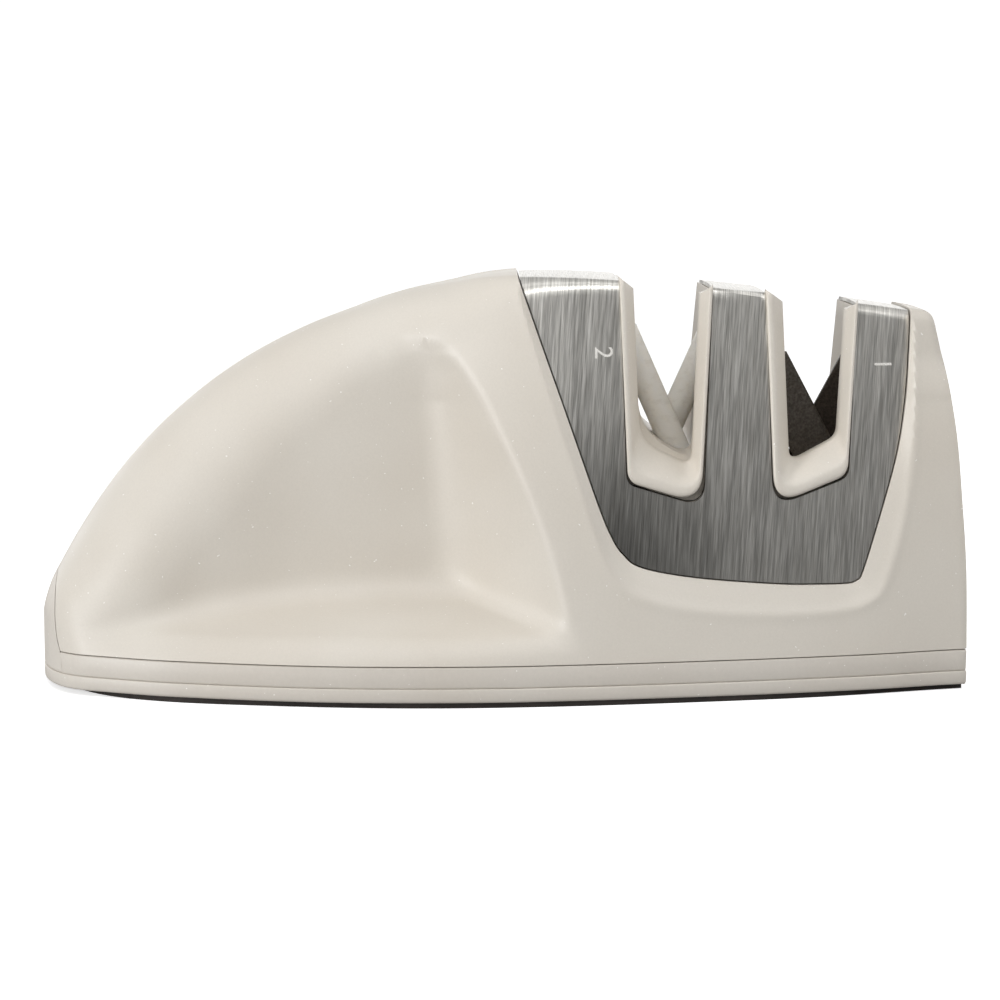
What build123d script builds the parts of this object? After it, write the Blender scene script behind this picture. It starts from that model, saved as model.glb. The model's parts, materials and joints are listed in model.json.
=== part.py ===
from build123d import *
from math import cos, radians, sin
import os

# Two stage knife sharpener, lying along X, sharpening head towards +X, resting on Z = 0

# Overall sizes
length = 132.0
width = 55.0
height = 59.0
bow_radius = 22.0
overrun = 2.0

# Foot, base plate and base frame
foot_height = 0.9
foot_key_height = 0.5
foot_margin = 0.5
foot_heel_margin = 2.0
foot_key_margin = 4.0
plate_height = 2.3
frame_height = 2.4
seam = 0.25
heel_rise = 12.0
heel_foot = 1.6
heel_lip = 0.8
heel_top = 3.1
heel_belly_share = 0.4
rib_height = 2.0
rib_width = 1.4

# Upper shell
wall = 2.0
fit = 0.2
fin_half = 11.6

# Steel cover
sheet = 0.5
sheet_depth = 1.3
sheet_drop = 0.35
film = 0.05
sheet_gap = 0.3
bezel_reach = 2.4
bezel_width = 3.4
cover_heel_round = 5.0
cover_nose_round = 2.0

# Slot guides
fine_place_share = 0.1750
coarse_place_share = 0.3295
fine_floor_share = 0.5746
coarse_floor_share = 0.5814
floor_tilt = 3.5
throat_top = 4.4
throat_bottom = 3.6
throat_round = 1.4
collar_top = 6.5
collar_bottom = 5.2
collar_drop = 5.0
collar_tilt = 4.2
collar_round = 2.2
collar_depth = 0.5
lip = 0.75
guide_gap = 0.25
funnel_depth = 5.0
ear_cut = 1.7
ear_drop = 1.3

# Holders that carry the abrasives inside the head
cheek_half_depth = 6.6
bridge_half_depth = 12.0
bridge_half = 5.0
holder_bottom_share = 0.356
cheek_drop = 7.0

# Ceramic rods
rod_diameter = 4.0
rod_lean = 24.0
rod_spacing = 4.4
rod_above = 12.0
rod_below = 13.0
rod_round = 0.3
fine_cross_offset = 1.2
fine_cross_rise = 6.5

# Carbide blades
blade_thickness = 1.5
blade_width = 6.0
blade_lean = 28.0
blade_spacing = 1.8
blade_above = 9.0
blade_below = 9.0
blade_round = 0.3
coarse_cross_offset = 1.9
coarse_cross_rise = 4.9

# Screws
screw_diameter = 2.6
screw_head = 5.0
screw_head_height = 1.1
screw_socket = 2.6
screw_socket_width = 0.6
screw_socket_depth = 0.6
pilot = 0.1
base_screw_length = 11.0
holder_screw_length = 9.0
holder_screw_place = 9.4
boss_diameter = 6.4
post_diameter = 8.0

frame_bottom = foot_height + plate_height
frame_top = frame_bottom + frame_height
shell_bottom = frame_top + seam
head_wall = sheet_depth + sheet + film + wall
fine_place = fine_place_share * length
coarse_place = coarse_place_share * length
fine_floor = fine_floor_share * height
coarse_floor = coarse_floor_share * height
holder_bottom = holder_bottom_share * height
holder_half = (coarse_place - fine_place) / 2 - fit

# Plan of the base: distance from the middle along X and half width, as shares of length and width
plan_shares = (
    (-0.372, 0.391),
    (-0.265, 0.455),
    (-0.106, 0.497),
    (0.047, 0.478),
    (0.205, 0.418),
    (0.364, 0.332),
    (0.500, 0.226),
)
plan_slope_shares = (0.45, -0.28)

# Ledge under the scoop: along X and foot half width
ledge_shares = ((-0.530, 0.290), (-0.424, 0.350), (-0.318, 0.426), (-0.212, 0.475), (-0.106, 0.497))
ledge_lean = 0.314
ledge_height = 15.0

# Head stations: along X, crown height, foot half width, crown half width, roll inwards and roll down
roll_limit_share = 0.9
head_shares = (
    (-0.106, 0.946, 0.497, 0.213, 0.190, 0.200),
    (-0.015, 0.991, 0.487, 0.288, 0.080, 0.080),
    (0.076, 0.9965, 0.467, 0.302, 0.030, 0.030),
    (0.167, 0.983, 0.433, 0.288, 0.028, 0.028),
    (0.258, 0.965, 0.388, 0.264, 0.028, 0.028),
    (0.349, 0.942, 0.342, 0.234, 0.028, 0.028),
    (0.440, 0.914, 0.277, 0.192, 0.028, 0.028),
    (0.531, 0.880, 0.200, 0.140, 0.028, 0.028),
)

# Fin stations: along X, crown height, half width, roll inwards and roll down
fin_shares = (
    (-0.511, 0.020, 0.230, 0.180, 0.010),
    (-0.500, 0.150, 0.260, 0.220, 0.100),
    (-0.478, 0.293, 0.285, 0.250, 0.200),
    (-0.445, 0.420, 0.305, 0.265, 0.320),
    (-0.389, 0.580, 0.310, 0.270, 0.420),
    (-0.306, 0.741, 0.262, 0.235, 0.430),
    (-0.223, 0.849, 0.220, 0.200, 0.340),
    (-0.114, 0.942, 0.211, 0.190, 0.220),
    (-0.015, 0.984, 0.211, 0.190, 0.180),
    (0.040, 0.980, 0.211, 0.180, 0.160),
)

# Nose face from the seam to the crown: along X and height
nose_shares = ((0.500, -0.100), (0.500, 0.120), (0.498, 0.310), (0.486, 0.620), (0.462, 0.890), (0.452, 1.100))

# Scoop end wall: height, place of its inner edge along X and outward run per unit of width
end_wall_shares = ((0.060, -0.033, 1.10), (0.360, -0.042, 1.00), (0.660, -0.056, 0.62), (0.960, -0.106, 0.02))

# Scoop floor: along X, height of its inner edge and fall per unit of width
floor_shares = (
    (-0.460, 0.135, 0.03),
    (-0.318, 0.193, 0.25),
    (-0.180, 0.222, 0.33),
    (-0.040, 0.238, 0.36),
    (0.110, 0.250, 0.38),
)

# Steel cover in front view: left, bottom and right edge, each through a middle point
cover_shares = ((0.016, 1.060), (0.071, 0.660), (0.131, 0.318), (0.250, 0.272), (0.381, 0.262), (0.426, 0.610))
cover_top_shares = (0.435, 1.060)

base_screw_shares = ((-0.350, 0.0), (0.020, 0.290), (0.020, -0.290), (0.462, 0.0))


def outline(inset=0.0, heel_inset=0.0):
    """Plan of the base, from the heel bow to the flat nose."""
    stretch = (length - 2 * inset) / length
    side = [(x * length * stretch, share * width - inset) for x, share in plan_shares]
    heel = -length / 2 + inset + heel_inset
    start, end = plan_slope_shares
    with BuildSketch() as plan:
        with BuildLine():
            ThreePointArc((side[0][0], -side[0][1]), (heel, 0), side[0])
            Spline(*side, tangents=[(1, start), (1, end)])
            Line(side[-1], (side[-1][0], -side[-1][1]))
            Spline(*[(x, -y) for x, y in side], tangents=[(1, -start), (1, -end)])
        make_face()
    return plan.sketch


def slab(bottom, top, inset=0.0, heel_inset=0.0):
    with BuildPart() as tier:
        with BuildSketch(Plane.XY.offset(bottom)):
            add(outline(inset, heel_inset))
        extrude(amount=top - bottom)
    return tier.part


def arch(x, floor, foot_half, crown_half, crown, roll_in, roll_down):
    """Arched cross section whose upper corners roll over."""
    corner = Vector(crown_half, crown)
    low = corner + (Vector(foot_half, floor) - corner) * (roll_down / (crown - floor))
    high = corner - Vector(min(roll_in, crown_half * roll_limit_share), 0)
    with BuildSketch(Plane.YZ.offset(x)) as face:
        with BuildLine():
            Line((foot_half, floor), low)
            Bezier(low, corner, high)
            Line(high, (0, crown))
            mirror(about=Plane.YZ)
            Line((-foot_half, floor), (foot_half, floor))
        make_face()
    return face.sketch


def head_form(inset=0.0, drop=0.0, floor=shell_bottom):
    with BuildPart() as form:
        for x, crown, foot_half, crown_half, roll_in, roll_down in head_shares:
            foot = foot_half * width - inset
            shoulder = crown_half * width - inset
            top = crown * height - drop
            roll = roll_in * (width - 2 * inset)
            add(arch(x * length, floor, foot, shoulder, top, roll, roll_down * height))
        loft()
    return form.part


def ledge_form(inset=0.0, floor=shell_bottom):
    with BuildPart() as form:
        for x, foot_half in ledge_shares:
            foot = foot_half * width - inset
            shoulder = foot - ledge_lean * (ledge_height - shell_bottom)
            add(arch(x * length, floor, foot, shoulder, ledge_height, seam, seam))
        loft()
    return form.part


def fin_form(inset=0.0):
    stretch = (length - 2 * inset) / length
    with BuildPart() as form:
        for x, crown, half, roll_in, roll_down in fin_shares:
            side = half * width - inset
            top = crown * (height - inset)
            roll = roll_in * (width - 2 * inset)
            add(arch(x * length * stretch, 0, side, side, top, roll, roll_down * (height - inset)))
        loft()
    return form.part


def end_wall_tool(grow):
    """Space left of the slanted wall that closes the scoop towards the head."""
    inner = fin_half - 3 * wall
    outer = width
    with BuildPart() as tool:
        for z, x, run in end_wall_shares:
            edge = x * length + grow
            with BuildSketch(Plane.XY.offset(z * height)):
                with BuildLine():
                    Polyline(
                        (edge + run * (inner - fin_half), inner),
                        (edge + run * (outer - fin_half), outer),
                        (-length, outer),
                        (-length, inner),
                        close=True,
                    )
                make_face()
        loft()
    return tool.part


def floor_tool(grow):
    """Space above the scoop floor."""
    inner = fin_half - 3 * wall
    outer = width
    with BuildPart() as tool:
        for x, z, fall in floor_shares:
            edge = z * height - grow
            with BuildSketch(Plane.YZ.offset(x * length)):
                with BuildLine():
                    Polyline(
                        (inner, edge + fall * (fin_half - inner)),
                        (outer, edge - fall * (outer - fin_half)),
                        (outer, 2 * height),
                        (inner, 2 * height),
                        close=True,
                    )
                make_face()
        loft()
    return tool.part


def scoop_tool(grow=0.0):
    with BuildPart() as tool:
        add(end_wall_tool(grow))
        add(floor_tool(grow), mode=Mode.INTERSECT)
        mirror(about=Plane.XZ)
    return tool.part


def bow_prism(inset, floor):
    """Tall prism with the rounded plan of the heel."""
    with BuildPart() as prism:
        with BuildSketch(Plane.XY.offset(floor)):
            with Locations((-length / 2 + bow_radius, 0)):
                Circle(bow_radius - inset)
                Rectangle(2 * length, width + 2 * overrun, align=(Align.MIN, Align.CENTER))
        extrude(amount=2 * height)
    return prism.part


def nose_cutter(inset):
    """Space past the leaning nose face."""
    points = [(x * length - inset, z * height) for x, z in nose_shares]
    with BuildPart() as cutter:
        with BuildSketch(Plane.XZ.offset(-width)):
            with BuildLine():
                Spline(*points)
                Polyline(points[-1], (length, points[-1][1]), (length, points[0][1]), points[0])
            make_face()
        extrude(amount=2 * width)
    return cutter.part


def shell_form(inset=0.0, head_inset=0.0, floor=shell_bottom):
    """Outside of the upper shell, or its hollow when inset by the wall."""
    head = head_form(head_inset, head_inset, floor)
    ledge = ledge_form(inset, floor)
    scoops = scoop_tool(inset)
    fin = fin_form(inset)
    bow = bow_prism(inset, floor)
    nose = nose_cutter(inset)
    with BuildPart() as form:
        add(head)
        add(ledge)
        add(scoops, mode=Mode.SUBTRACT)
        add(fin)
        add(bow, mode=Mode.INTERSECT)
        add(nose, mode=Mode.SUBTRACT)
    return form.part


def cover_sketch(grow=0.0):
    """Front view of the steel cover before its slots are cut."""
    points = [(x * length, z * height) for x, z in cover_shares]
    top = (cover_top_shares[0] * length, cover_top_shares[1] * height)
    with BuildSketch() as view:
        with BuildLine():
            ThreePointArc(points[0], points[1], points[2])
            ThreePointArc(points[2], points[3], points[4])
            ThreePointArc(points[4], points[5], top)
            Line(top, points[0])
        make_face()
        if grow:
            offset(amount=grow, kind=Kind.INTERSECTION)
        fillet(view.vertices().sort_by_distance(points[2])[0], cover_heel_round + grow)
        fillet(view.vertices().sort_by_distance(points[4])[0], cover_nose_round + grow)
    return view.sketch


def stage_sketch(place, floor, tilt, top_half, bottom_half, corner, bare=0.0):
    """Front view of a slot whose floor falls towards the middle post."""
    low = [(place - bottom_half, floor + tilt / 2), (place + bottom_half, floor - tilt / 2)]
    with BuildSketch() as view:
        with BuildLine():
            Polyline((place - top_half, height + overrun), *low, (place + top_half, height + overrun), close=True)
        make_face()
        fillet(view.vertices().group_by(Axis.Y)[:2], corner)
        if bare:
            offset(amount=bare)
    return view.sketch


def collar_sketch(stage, grow=0.0):
    place, floor, turn = stage
    bottom = floor - collar_drop
    return stage_sketch(place, bottom, turn * collar_tilt, collar_top, collar_bottom, collar_round, grow)


def throat_sketch(stage, grow=0.0):
    place, floor, turn = stage
    return stage_sketch(place, floor, turn * floor_tilt, throat_top, throat_bottom, throat_round, grow)


def through(sketch):
    """Front view outline pushed through the whole depth of the head."""
    with BuildPart() as prism:
        with BuildSketch(Plane.XZ):
            add(sketch)
        extrude(amount=width, both=True)
    return prism.part


def head_station(x):
    """Crown height, foot half width and crown half width of the head at a place along X."""
    after = [row for row in head_shares if row[0] * length > x][0]
    before = head_shares[head_shares.index(after) - 1]
    part = (x / length - before[0]) / (after[0] - before[0])
    crown, foot, shoulder = [before[i] + (after[i] - before[i]) * part for i in (1, 2, 3)]
    return crown * height, foot * width, shoulder * width


def head_half(x, z):
    """Half width of the head at a place along X and a height."""
    crown, foot, shoulder = head_station(x)
    return foot + (shoulder - foot) * (z - shell_bottom) / (crown - shell_bottom)


def face_plane(x, z, inset):
    """Plane along the front face of the head, moved inwards by an inset."""
    yaw = (head_half(x - wall, z) - head_half(x + wall, z)) / (2 * wall)
    pitch = (head_half(x, z - wall) - head_half(x, z + wall)) / (2 * wall)
    facing = Vector(yaw, -1, pitch).normalized()
    surface = Vector(x, -head_half(x, z), z)
    across = Vector(1 + pitch**2, yaw, -pitch * yaw)
    return Plane(surface - facing * inset, x_dir=across, z_dir=facing)


def on_face(sketch, x, z, inset):
    """Front view outline laid on the face plane."""
    return face_plane(x, z, inset) * Pos(-x, -z) * sketch


def bezel_tool():
    """Sloping border that leads from the shell down to the steel cover."""
    x = length * cover_shares[3][0]
    z = height * cover_shares[1][1]
    with BuildPart() as tool:
        add(on_face(cover_sketch(sheet_gap), x, z, bezel_reach))
        add(on_face(cover_sketch(sheet_gap + 2 * bezel_width), x, z, -bezel_reach))
        loft(ruled=True)
        mirror(about=Plane.XZ)
    return tool.part


def funnel_tool(stage):
    """Flare at both mouths of a slot."""
    x, floor, turn = stage
    z = (floor + height) / 2
    mouth = collar_sketch(stage, -lip)
    with BuildPart() as tool:
        add(on_face(throat_sketch(stage, film), x, z, funnel_depth))
        add(on_face(mouth, x, z, collar_depth))
        loft(ruled=True)
        add(on_face(mouth, x, z, collar_depth))
        extrude(amount=overrun)
        mirror(about=Plane.XZ)
    return tool.part


def ear_tool(stage):
    """Slanted lead in at the top of a slot."""
    x = stage[0]
    crown = head_station(x)[0]
    with BuildSketch() as view:
        with BuildLine():
            Polyline(
                (x - throat_top, crown - ear_drop),
                (x - throat_top - 2 * ear_cut, crown + ear_drop),
                (x + throat_top + 2 * ear_cut, crown + ear_drop),
                (x + throat_top, crown - ear_drop),
                close=True,
            )
        make_face()
    return through(view.sketch)


def heel_tool(grow=0.0):
    """Side view lens behind which the frame's heel lip covers the shell."""
    low = (heel_foot - length / 2 + grow, frame_bottom)
    middle = (heel_lip - length / 2 + grow, shell_bottom + heel_rise * heel_belly_share)
    high = (heel_top - length / 2 + grow, shell_bottom + heel_rise)
    with BuildSketch() as view:
        with BuildLine():
            ThreePointArc(low, middle, high)
            Polyline(high, (-length, height), (-length, frame_bottom), low)
        make_face()
    return through(view.sketch)


def screw(length_under_head):
    """Flat headed screw standing on Z = 0 with its head down and a cross recess."""
    with BuildPart() as item:
        with BuildSketch():
            Circle(screw_head / 2)
        extrude(amount=screw_head_height)
        chamfer(item.edges().group_by(Axis.Z)[0], screw_socket_width / 2)
        with BuildSketch(Plane.XY.offset(screw_head_height)):
            Circle(screw_diameter / 2)
        extrude(amount=length_under_head)
        chamfer(item.edges().group_by(Axis.Z)[-1], screw_diameter / 4)
        with BuildSketch():
            Rectangle(screw_socket, screw_socket_width)
            Rectangle(screw_socket_width, screw_socket)
        extrude(amount=screw_socket_depth, mode=Mode.SUBTRACT)
    return item.part


def screw_holes(places, bottom, top, bore):
    """Clearance holes with a seat for the head at the bottom."""
    with BuildPart() as holes:
        with BuildSketch(Plane.XY.offset(bottom - overrun)):
            with Locations(*places):
                Circle(screw_head / 2 + fit)
        extrude(amount=overrun + screw_head_height)
        with BuildSketch(Plane.XY.offset(bottom - overrun)):
            with Locations(*places):
                Circle(bore / 2)
        extrude(amount=top - bottom + overrun)
    return holes.part


def rod(side):
    """Ceramic rod, side 1 in front leaning towards the heel, side -1 behind it."""
    lean = radians(rod_lean)
    cross = Vector(fine_place + fine_cross_offset, -side * rod_spacing / 2, fine_floor + fine_cross_rise)
    axis = Vector(-side * sin(lean), 0, cos(lean))
    middle = cross - Vector(side * cos(lean), 0, sin(lean)) * (rod_diameter / 2)
    return middle - axis * rod_below, axis, rod_above + rod_below


def blade(side):
    """Carbide blade, side 1 in front leaning towards the heel, side -1 behind it."""
    lean = radians(blade_lean)
    cross = Vector(coarse_place + coarse_cross_offset, -side * blade_spacing / 2, coarse_floor + coarse_cross_rise)
    axis = Vector(-side * sin(lean), 0, cos(lean))
    middle = cross - Vector(side * cos(lean), 0, sin(lean)) * (blade_width / 2)
    return middle - axis * blade_below, axis, blade_above + blade_below


def rod_solid(side, grow=0.0):
    start, axis, run = rod(side)
    with BuildPart() as solid:
        with BuildSketch(Plane(start - axis * grow, z_dir=axis)):
            Circle(rod_diameter / 2 + grow)
        extrude(amount=run + 2 * grow)
        if not grow:
            fillet(solid.edges().filter_by(GeomType.CIRCLE), rod_round)
    return solid.part


def blade_solid(side, grow=0.0):
    start, axis, run = blade(side)
    with BuildPart() as solid:
        with BuildSketch(Plane(start - axis * grow, x_dir=(axis.Z, 0, -axis.X), z_dir=axis)):
            Rectangle(blade_width + 2 * grow, blade_thickness + 2 * grow)
        extrude(amount=run + 2 * grow)
        if not grow:
            chamfer(solid.edges().filter_by(Axis.Y, reverse=True).filter_by(GeomType.LINE), blade_round)
    return solid.part


def pocket(solid, side, spacing):
    """Room for an abrasive, open towards the other holder half."""
    with BuildPart() as room:
        add(solid)
        add(Pos(0, side * spacing / 2, 0) * solid)
    return room.part


def holder(stage, side, room, seat, limit):
    """Half of the block that clamps an abrasive beside and under its slot."""
    x = stage[0]
    top = head_station(x)[0] - cheek_drop
    bore = screw_diameter + fit
    with BuildPart() as half:
        with BuildSketch(Plane.XY.offset(holder_bottom)):
            with Locations((x, -side * cheek_half_depth / 2)):
                Rectangle(2 * holder_half, cheek_half_depth)
        extrude(amount=top - holder_bottom)
        with BuildSketch(Plane.XY.offset(holder_bottom)):
            with Locations((x, -side * bridge_half_depth / 2)):
                Rectangle(2 * bridge_half, bridge_half_depth)
        extrude(amount=stage[1] - holder_bottom)
        add(seat, mode=Mode.SUBTRACT)
        add(limit, mode=Mode.INTERSECT)
        add(room, mode=Mode.SUBTRACT)
        add(screw_holes([(x, -side * holder_screw_place)], holder_bottom, stage[1], bore), mode=Mode.SUBTRACT)
    return half.part


def finish(part, name):
    part.label = name
    export_step(part, f"parts/{name}.step")
    print(name, len(part.solids()), "solids", round(part.volume), "mm3", part.is_valid)


os.makedirs("parts", exist_ok=True)
fine = (fine_place, fine_floor, 1)
coarse = (coarse_place, coarse_floor, -1)
stages = (fine, coarse)
base_places = [(x * length, y * width) for x, y in base_screw_shares]

# Forms shared by the pieces
body = shell_form()
hollow = shell_form(wall, head_wall, 0)
mid_form = shell_form(wall / 2, head_wall - wall / 2, 0)
recess_floor = head_form(sheet_depth + sheet + film, sheet_drop + sheet + film)
heel = heel_tool()

# Upper shell with its recess for the cover, slots for the guides and screw bosses
with BuildPart() as bezel_cut:
    add(bezel_tool())
    add(recess_floor, mode=Mode.SUBTRACT)
with BuildPart() as recess_cut:
    add(through(cover_sketch(sheet_gap)))
    add(recess_floor, mode=Mode.SUBTRACT)
with BuildPart() as bosses:
    with BuildSketch(Plane.XY.offset(shell_bottom)):
        with Locations(*base_places):
            Circle(boss_diameter / 2)
    extrude(amount=height)
    add(mid_form, mode=Mode.INTERSECT)
with BuildPart() as upper_shell:
    add(body)
    add(hollow, mode=Mode.SUBTRACT)
    add(bezel_cut.part, mode=Mode.SUBTRACT)
    add(recess_cut.part, mode=Mode.SUBTRACT)
    add(bosses.part)
    for stage in stages:
        add(through(collar_sketch(stage, fit)), mode=Mode.SUBTRACT)
    add(heel_tool(film), mode=Mode.SUBTRACT)
    with BuildSketch(Plane.XY.offset(shell_bottom)):
        with Locations(*base_places):
            Circle(screw_diameter / 2 + pilot)
    extrude(amount=base_screw_length, mode=Mode.SUBTRACT)
finish(upper_shell.part, "upper_shell")

# Steel cover, a bent sheet with three straps over the crown
with BuildPart() as steel_cover:
    add(head_form(sheet_depth, sheet_drop))
    add(head_form(sheet_depth + sheet, sheet_drop + sheet), mode=Mode.SUBTRACT)
    add(through(cover_sketch()), mode=Mode.INTERSECT)
    for stage in stages:
        add(through(collar_sketch(stage, guide_gap)), mode=Mode.SUBTRACT)
finish(steel_cover.part, "steel_cover")

# Base frame with the heel lip, a locating rib and posts under the holders
with BuildPart() as rib:
    add(slab(frame_top, frame_top + rib_height, head_wall + wall))
    add(slab(frame_top, frame_top + rib_height, head_wall + wall + rib_width), mode=Mode.SUBTRACT)
    with BuildSketch(Plane.XY.offset(frame_top)):
        with Locations(*base_places):
            Circle(boss_diameter / 2 + fit)
    extrude(amount=rib_height, mode=Mode.SUBTRACT)
    add(scoop_tool(wall + rib_width), mode=Mode.SUBTRACT)
with BuildPart() as heel_lip:
    add(body)
    add(slab(frame_bottom, shell_bottom))
    add(heel, mode=Mode.INTERSECT)
with BuildPart() as base_frame:
    add(slab(frame_bottom, frame_top))
    add(heel_lip.part)
    add(rib.part)
    with BuildSketch(Plane.XY.offset(frame_top)):
        with Locations((fine_place, 0), (coarse_place, 0)):
            Circle(post_diameter / 2)
    extrude(amount=holder_bottom - frame_top)
    with BuildSketch(Plane.XY.offset(frame_bottom)):
        with Locations(*base_places):
            Circle(screw_diameter / 2 + fit)
    extrude(amount=frame_height, mode=Mode.SUBTRACT)
finish(base_frame.part, "base_frame")

# Base plate with a shallow bed for the rubber foot
bed = foot_height + foot_key_height
with BuildPart() as base_plate:
    add(slab(foot_height, frame_bottom))
    add(slab(foot_height, bed, foot_key_margin - fit), mode=Mode.SUBTRACT)
    add(screw_holes(base_places, bed, frame_bottom, screw_diameter + 2 * fit), mode=Mode.SUBTRACT)
finish(base_plate.part, "base_plate")

# Rubber foot, keyed into the plate
with BuildPart() as rubber_foot:
    add(slab(0, foot_height, foot_margin, foot_heel_margin))
    add(slab(foot_height, bed, foot_key_margin))
finish(rubber_foot.part, "rubber_foot")

# Base screws
with BuildPart() as base_screws:
    item = screw(base_screw_length)
    for x, y in base_places:
        add(Pos(x, y, bed) * item)
finish(base_screws.part, "base_screws")

# Abrasives
rods = {1: rod_solid(1), -1: rod_solid(-1)}
blades = {1: blade_solid(1), -1: blade_solid(-1)}
finish(rods[1], "ceramic_rod_front")
finish(rods[-1], "ceramic_rod_rear")
finish(blades[1], "carbide_blade_front")
finish(blades[-1], "carbide_blade_rear")

# Guides and holders of both stages
limit = head_form(head_wall + fit, head_wall + fit, 0)
sets = (("fine", fine, rod_solid, rod_spacing), ("coarse", coarse, blade_solid, blade_spacing))
for name, stage, solid, spacing in sets:
    with BuildPart() as guide:
        add(head_form(collar_depth))
        add(through(collar_sketch(stage)), mode=Mode.INTERSECT)
        add(through(throat_sketch(stage)), mode=Mode.SUBTRACT)
        add(funnel_tool(stage), mode=Mode.SUBTRACT)
        add(ear_tool(stage), mode=Mode.SUBTRACT)
        add(solid(1, fit), mode=Mode.SUBTRACT)
        add(solid(-1, fit), mode=Mode.SUBTRACT)
        with BuildSketch(Plane.XY.offset(holder_bottom)):
            with Locations((stage[0], holder_screw_place), (stage[0], -holder_screw_place)):
                Circle(screw_diameter / 2 + pilot)
        extrude(amount=screw_head_height + holder_screw_length + overrun / 2, mode=Mode.SUBTRACT)
    finish(guide.part, f"{name}_guide")
    seat = through(collar_sketch(stage, pilot))
    for side, place in ((1, "front"), (-1, "rear")):
        room = pocket(solid(side, pilot), side, spacing)
        finish(holder(stage, side, room, seat, limit), f"{name}_holder_{place}")
    with BuildPart() as holder_screws:
        item = screw(holder_screw_length)
        for y in (-holder_screw_place, holder_screw_place):
            add(Pos(stage[0], y, holder_bottom) * item)
    finish(holder_screws.part, f"{name}_holder_screws")
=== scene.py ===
import json
import math
import bmesh
import bpy
import numpy as np
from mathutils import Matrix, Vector


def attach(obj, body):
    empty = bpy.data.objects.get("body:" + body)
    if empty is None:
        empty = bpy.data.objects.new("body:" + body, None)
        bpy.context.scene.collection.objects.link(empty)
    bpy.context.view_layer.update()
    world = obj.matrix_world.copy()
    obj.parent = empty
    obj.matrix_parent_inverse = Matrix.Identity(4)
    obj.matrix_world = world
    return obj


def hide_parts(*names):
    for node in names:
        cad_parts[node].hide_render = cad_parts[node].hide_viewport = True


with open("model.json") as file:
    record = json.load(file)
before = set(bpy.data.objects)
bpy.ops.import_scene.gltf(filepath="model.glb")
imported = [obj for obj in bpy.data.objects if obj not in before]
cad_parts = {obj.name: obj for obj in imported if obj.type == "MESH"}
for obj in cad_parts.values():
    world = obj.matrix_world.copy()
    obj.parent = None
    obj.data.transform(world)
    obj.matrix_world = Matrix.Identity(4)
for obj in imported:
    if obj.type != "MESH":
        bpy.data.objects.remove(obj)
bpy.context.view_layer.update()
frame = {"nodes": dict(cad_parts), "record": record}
MM = 0.001

# Sizes in millimetres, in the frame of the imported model: +X towards the nose, -Y towards the viewer
LENGTH = 132.0
TAIL = -LENGTH / 2
SEAM = 5.85

# Wall of the shell, what the head adds to it, and the stretch of X over which it is added
WALL = 2.0
HEAD_EXTRA_WALL = 1.9
HEAD_FROM = (-6.0, 4.0)
OVERRUN = 1.0

# Rounding of the body: fall of the crown across, radii of its edges, and the tail's superellipse
CROWN_CAMBER = 0.0012
NOSE_EDGE = 1.1
TAIL_EDGE = 1.5
TAIL_ROUND = 22.0
TAIL_POWER = 2.3

# Scoop and spine: reach of the soft corner in the scoop, half width at which its end wall is measured,
# heights over which the spine widens into the head, and X where the head's crown takes over from the spine
SCOOP_CORNER = 3.0
SPINE_SIDE = 11.6
SPINE_WIDENS = (41.0, 48.0)
HANDOVER = -12.0

# Sloping border between the ridge on the head and the steel sheet: how deep it leads, its least width,
# the rounding and the bead of the ridge, and how far under the crown it starts and is full
RECESS = 1.3
LEAST_BORDER = 0.5
RIDGE_BLEND = 0.32
BEAD_HEIGHT = 0.13
BEAD_WIDTH = 0.75
BORDER_TOP = 1.2
BORDER_RUN_OUT = 1.5

# Steel sheet, the room under it and the gaps around it
SHEET = 0.5
SHEET_DROP = 0.35
ROOM_UNDER_FLANK = 1.3
ROOM_UNDER_CROWN = 0.9
SEAT_GAP = 0.22
SLOT_GAP = 0.15
HEEL_GAP = 0.09

# Points of a mesh that are closer together than this, in metres, become one
WELD = 2e-7


def curve(*points):
    """Smooth line through points, level beyond its ends."""
    xs, ys = np.array(points, float).T
    step = np.diff(xs)
    rise = np.diff(ys) / step
    inner = (rise[:-1] * step[1:] + rise[1:] * step[:-1]) / (step[:-1] + step[1:])
    slope = np.concatenate(([rise[0]], inner, [rise[-1]]))

    def at(x):
        x = np.clip(x, xs[0], xs[-1])
        i = np.clip(np.searchsorted(xs, x) - 1, 0, len(xs) - 2)
        w = xs[i + 1] - xs[i]
        t = (x - xs[i]) / w
        ends = ys[i] * (1 + 2 * t) * (1 - t) ** 2 + ys[i + 1] * t * t * (3 - 2 * t)
        return ends + w * t * (1 - t) * (slope[i] * (1 - t) - slope[i + 1] * t)

    return at


# Outer lines of the body along X: half width at the foot, height, and half width of the flat crown
foot = curve((-66, 8), (-62, 14.0), (-56.7, 17.9), (-49.2, 21.4), (-42.1, 23.4), (-35, 25.0), (-28.1, 26.2),
             (-21.2, 27.0), (-14, 27.25), (-0.7, 26.9), (13, 25.2), (26.9, 22.8), (41.1, 19.9), (55.5, 16.2),
             (66, 12.4))
crown = curve((-66.6, 8.0), (-66, 10.4), (-65.6, 12.0), (-64.7, 14.6), (-63.3, 17.3), (-58.8, 24.8),
              (-55.1, 29.9), (-51.4, 34.2), (-44.1, 41.0), (-36.8, 46.2), (-29.5, 50.1), (-22.3, 53.1),
              (-15.1, 55.6), (-7.9, 57.4), (-0.7, 58.5), (4, 58.8), (10, 58.75), (22, 58.0), (34, 56.9),
              (46, 55.5), (58, 53.8), (66, 52.5))
shoulder = curve((-20, 7.6), (-14, 9.6), (-8, 11.8), (-2, 14.2), (4, 15.9), (10, 16.6), (22, 15.8),
                 (34, 14.5), (46, 12.9), (58, 10.6), (66, 8.8))
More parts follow.
